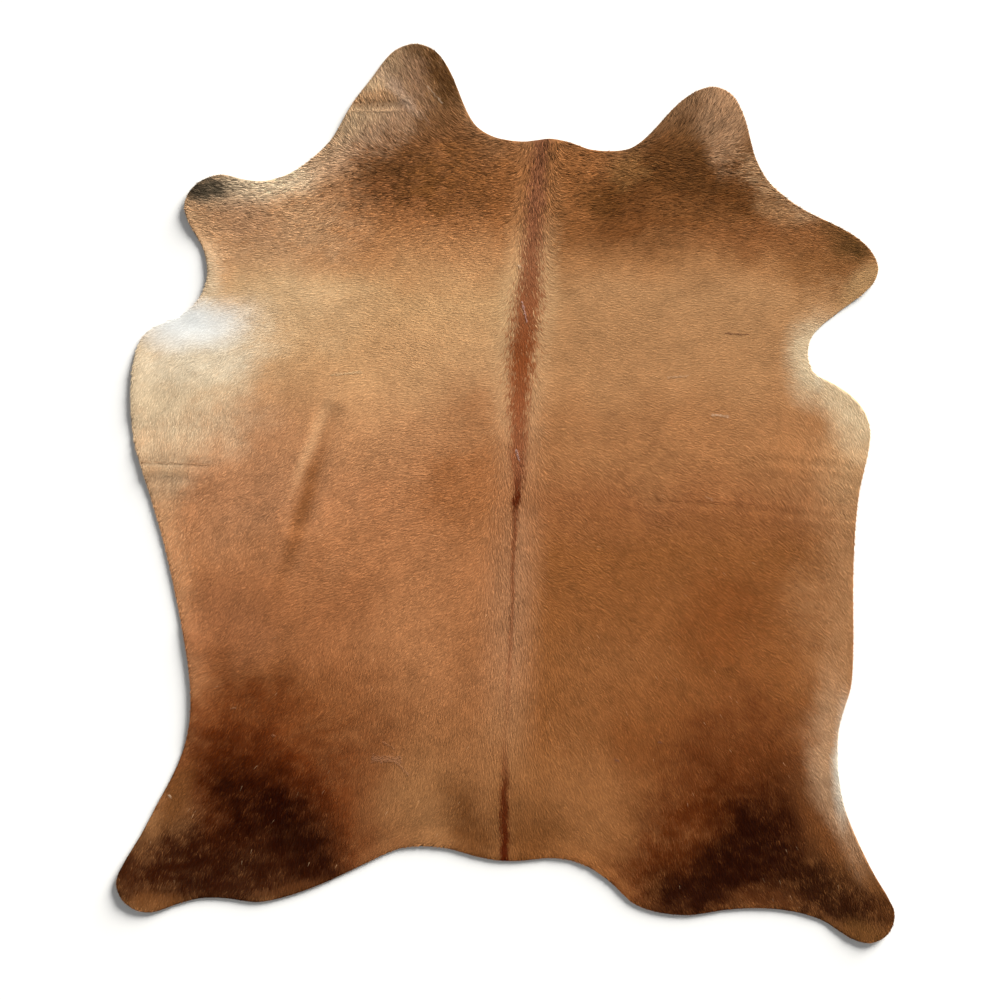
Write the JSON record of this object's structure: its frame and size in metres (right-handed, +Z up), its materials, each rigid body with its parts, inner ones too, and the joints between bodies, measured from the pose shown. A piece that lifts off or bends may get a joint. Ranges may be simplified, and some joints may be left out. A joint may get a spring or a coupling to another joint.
{
  "type": "cowhide rug",
  "caption": "Hair-on leather hide rug: one flat tanned skin in its natural outline, with cheek, foreleg and hindleg flaps and a dark stripe down the back.",
  "frame": {"origin": "on the floor, under the middle of the hide's bounding box", "axes": "+Z up, out of the hair side; +Y along the back, from the tail to the neck; -X is the animal's left side"},
  "size_m": [1.944, 2.246, 0.0126],
  "materials": {
    "hair_coat": "satin",
    "hide_leather": "matte"
  },
  "bodies": {
    "root": {"hide": "hair_coat"}
  },
  "joints": []
}
